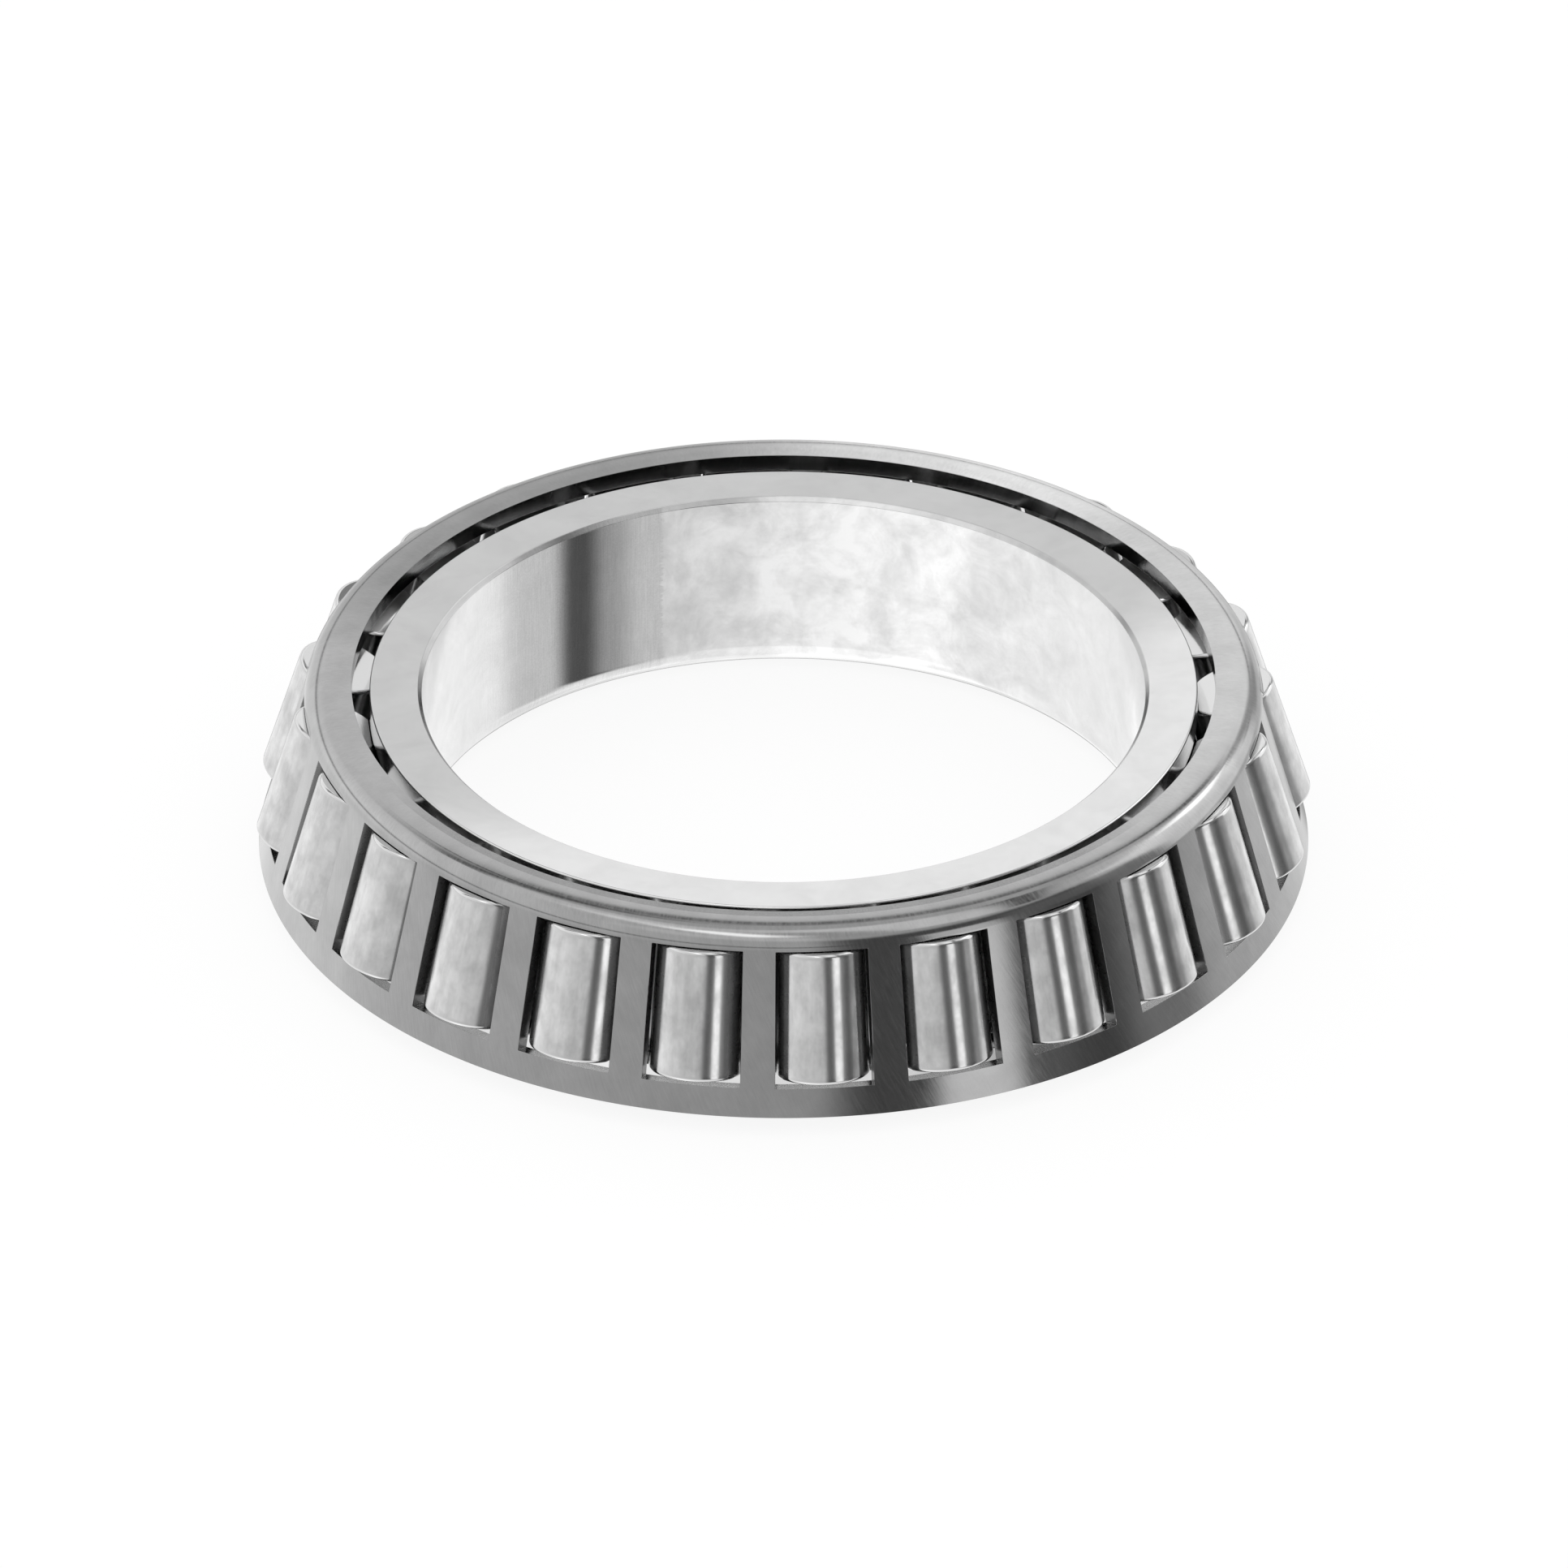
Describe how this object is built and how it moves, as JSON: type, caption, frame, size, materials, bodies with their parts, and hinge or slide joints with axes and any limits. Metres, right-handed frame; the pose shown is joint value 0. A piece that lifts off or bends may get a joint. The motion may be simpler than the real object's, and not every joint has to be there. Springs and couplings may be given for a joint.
{
  "type": "tapered roller bearing",
  "caption": "Inner ring of a tapered roller bearing with its tapered rollers spaced and held by a pressed steel cage; the bore seats on a shaft.",
  "frame": {"origin": "centre of the inner ring's back (large-end) face, on the bearing's axis", "axes": "+Z along the bearing's axis from the back face to the small-end face; -Y is the front, +X to its right"},
  "size_m": [0.1664, 0.1664, 0.0329],
  "materials": {
    "ring_steel": "ground",
    "cage_steel": "satin",
    "roller_steel": "polished"
  },
  "bodies": {
    "inner_ring": {"inner_ring": "ring_steel"},
    "cage": {"cage": "cage_steel"},
    "roller_01": {"roller_01": "roller_steel"},
    "roller_02": {"roller_02": "roller_steel"},
    "roller_03": {"roller_03": "roller_steel"},
    "roller_04": {"roller_04": "roller_steel"},
    "roller_05": {"roller_05": "roller_steel"},
    "roller_06": {"roller_06": "roller_steel"},
    "roller_07": {"roller_07": "roller_steel"},
    "roller_08": {"roller_08": "roller_steel"},
    "roller_09": {"roller_09": "roller_steel"},
    "roller_10": {"roller_10": "roller_steel"},
    "roller_11": {"roller_11": "roller_steel"},
    "roller_12": {"roller_12": "roller_steel"},
    "roller_13": {"roller_13": "roller_steel"},
    "roller_14": {"roller_14": "roller_steel"},
    "roller_15": {"roller_15": "roller_steel"},
    "roller_16": {"roller_16": "roller_steel"},
    "roller_17": {"roller_17": "roller_steel"},
    "roller_18": {"roller_18": "roller_steel"},
    "roller_19": {"roller_19": "roller_steel"},
    "roller_20": {"roller_20": "roller_steel"},
    "roller_21": {"roller_21": "roller_steel"},
    "roller_22": {"roller_22": "roller_steel"},
    "roller_23": {"roller_23": "roller_steel"},
    "roller_24": {"roller_24": "roller_steel"}
  },
  "joints": [
    {"name": "cage_turn", "type": "hinge", "parent": "inner_ring", "child": "cage", "pos_m": [0, 0, 0.018], "axis": [0, 0, 1], "continuous": true},
    {"name": "roller_01_spin", "type": "hinge", "parent": "cage", "child": "roller_01", "pos_m": [0.00611, -0.07595, 0.00766], "axis": [-0.021, 0.2608, 0.9652], "continuous": true},
    {"name": "roller_02_spin", "type": "hinge", "parent": "cage", "child": "roller_02", "pos_m": [0.02556, -0.07178, 0.00766], "axis": [-0.0878, 0.2465, 0.9652], "continuous": true},
    {"name": "roller_03_spin", "type": "hinge", "parent": "cage", "child": "roller_03", "pos_m": [0.04327, -0.06272, 0.00766], "axis": [-0.1486, 0.2154, 0.9652], "continuous": true},
    {"name": "roller_04_spin", "type": "hinge", "parent": "cage", "child": "roller_04", "pos_m": [0.05803, -0.04939, 0.00766], "axis": [-0.1993, 0.1696, 0.9652], "continuous": true},
    {"name": "roller_05_spin", "type": "hinge", "parent": "cage", "child": "roller_05", "pos_m": [0.06883, -0.03268, 0.00766], "axis": [-0.2364, 0.1122, 0.9652], "continuous": true},
    {"name": "roller_06_spin", "type": "hinge", "parent": "cage", "child": "roller_06", "pos_m": [0.07495, -0.01376, 0.00766], "axis": [-0.2574, 0.0472, 0.9652], "continuous": true},
    {"name": "roller_07_spin", "type": "hinge", "parent": "cage", "child": "roller_07", "pos_m": [0.07595, 0.00611, 0.00766], "axis": [-0.2608, -0.021, 0.9652], "continuous": true},
    {"name": "roller_08_spin", "type": "hinge", "parent": "cage", "child": "roller_08", "pos_m": [0.07178, 0.02556, 0.00766], "axis": [-0.2465, -0.0878, 0.9652], "continuous": true},
    {"name": "roller_09_spin", "type": "hinge", "parent": "cage", "child": "roller_09", "pos_m": [0.06272, 0.04327, 0.00766], "axis": [-0.2154, -0.1486, 0.9652], "continuous": true},
    {"name": "roller_10_spin", "type": "hinge", "parent": "cage", "child": "roller_10", "pos_m": [0.04939, 0.05803, 0.00766], "axis": [-0.1696, -0.1993, 0.9652], "continuous": true},
    {"name": "roller_11_spin", "type": "hinge", "parent": "cage", "child": "roller_11", "pos_m": [0.03268, 0.06883, 0.00766], "axis": [-0.1122, -0.2364, 0.9652], "continuous": true},
    {"name": "roller_12_spin", "type": "hinge", "parent": "cage", "child": "roller_12", "pos_m": [0.01376, 0.07495, 0.00766], "axis": [-0.0472, -0.2574, 0.9652], "continuous": true},
    {"name": "roller_13_spin", "type": "hinge", "parent": "cage", "child": "roller_13", "pos_m": [-0.00611, 0.07595, 0.00766], "axis": [0.021, -0.2608, 0.9652], "continuous": true},
    {"name": "roller_14_spin", "type": "hinge", "parent": "cage", "child": "roller_14", "pos_m": [-0.02556, 0.07178, 0.00766], "axis": [0.0878, -0.2465, 0.9652], "continuous": true},
    {"name": "roller_15_spin", "type": "hinge", "parent": "cage", "child": "roller_15", "pos_m": [-0.04327, 0.06272, 0.00766], "axis": [0.1486, -0.2154, 0.9652], "continuous": true},
    {"name": "roller_16_spin", "type": "hinge", "parent": "cage", "child": "roller_16", "pos_m": [-0.05803, 0.04939, 0.00766], "axis": [0.1993, -0.1696, 0.9652], "continuous": true},
    {"name": "roller_17_spin", "type": "hinge", "parent": "cage", "child": "roller_17", "pos_m": [-0.06883, 0.03268, 0.00766], "axis": [0.2364, -0.1122, 0.9652], "continuous": true},
    {"name": "roller_18_spin", "type": "hinge", "parent": "cage", "child": "roller_18", "pos_m": [-0.07495, 0.01376, 0.00766], "axis": [0.2574, -0.0472, 0.9652], "continuous": true},
    {"name": "roller_19_spin", "type": "hinge", "parent": "cage", "child": "roller_19", "pos_m": [-0.07595, -0.00611, 0.00766], "axis": [0.2608, 0.021, 0.9652], "continuous": true},
    {"name": "roller_20_spin", "type": "hinge", "parent": "cage", "child": "roller_20", "pos_m": [-0.07178, -0.02556, 0.00766], "axis": [0.2465, 0.0878, 0.9652], "continuous": true},
    {"name": "roller_21_spin", "type": "hinge", "parent": "cage", "child": "roller_21", "pos_m": [-0.06272, -0.04327, 0.00766], "axis": [0.2154, 0.1486, 0.9652], "continuous": true},
    {"name": "roller_22_spin", "type": "hinge", "parent": "cage", "child": "roller_22", "pos_m": [-0.04939, -0.05803, 0.00766], "axis": [0.1696, 0.1993, 0.9652], "continuous": true},
    {"name": "roller_23_spin", "type": "hinge", "parent": "cage", "child": "roller_23", "pos_m": [-0.03268, -0.06883, 0.00766], "axis": [0.1122, 0.2364, 0.9652], "continuous": true},
    {"name": "roller_24_spin", "type": "hinge", "parent": "cage", "child": "roller_24", "pos_m": [-0.01376, -0.07495, 0.00766], "axis": [0.0472, 0.2574, 0.9652], "continuous": true}
  ],
  "couplings": [
    {"joint": "roller_01_spin", "follows": "cage_turn", "ratio": 8.9956},
    {"joint": "roller_02_spin", "follows": "cage_turn", "ratio": 8.9956},
    {"joint": "roller_03_spin", "follows": "cage_turn", "ratio": 8.9956},
    {"joint": "roller_04_spin", "follows": "cage_turn", "ratio": 8.9956},
    {"joint": "roller_05_spin", "follows": "cage_turn", "ratio": 8.9956},
    {"joint": "roller_06_spin", "follows": "cage_turn", "ratio": 8.9956},
    {"joint": "roller_07_spin", "follows": "cage_turn", "ratio": 8.9956},
    {"joint": "roller_08_spin", "follows": "cage_turn", "ratio": 8.9956},
    {"joint": "roller_09_spin", "follows": "cage_turn", "ratio": 8.9956},
    {"joint": "roller_10_spin", "follows": "cage_turn", "ratio": 8.9956},
    {"joint": "roller_11_spin", "follows": "cage_turn", "ratio": 8.9956},
    {"joint": "roller_12_spin", "follows": "cage_turn", "ratio": 8.9956},
    {"joint": "roller_13_spin", "follows": "cage_turn", "ratio": 8.9956},
    {"joint": "roller_14_spin", "follows": "cage_turn", "ratio": 8.9956},
    {"joint": "roller_15_spin", "follows": "cage_turn", "ratio": 8.9956},
    {"joint": "roller_16_spin", "follows": "cage_turn", "ratio": 8.9956},
    {"joint": "roller_17_spin", "follows": "cage_turn", "ratio": 8.9956},
    {"joint": "roller_18_spin", "follows": "cage_turn", "ratio": 8.9956},
    {"joint": "roller_19_spin", "follows": "cage_turn", "ratio": 8.9956},
    {"joint": "roller_20_spin", "follows": "cage_turn", "ratio": 8.9956},
    {"joint": "roller_21_spin", "follows": "cage_turn", "ratio": 8.9956},
    {"joint": "roller_22_spin", "follows": "cage_turn", "ratio": 8.9956},
    {"joint": "roller_23_spin", "follows": "cage_turn", "ratio": 8.9956},
    {"joint": "roller_24_spin", "follows": "cage_turn", "ratio": 8.9956}
  ]
}
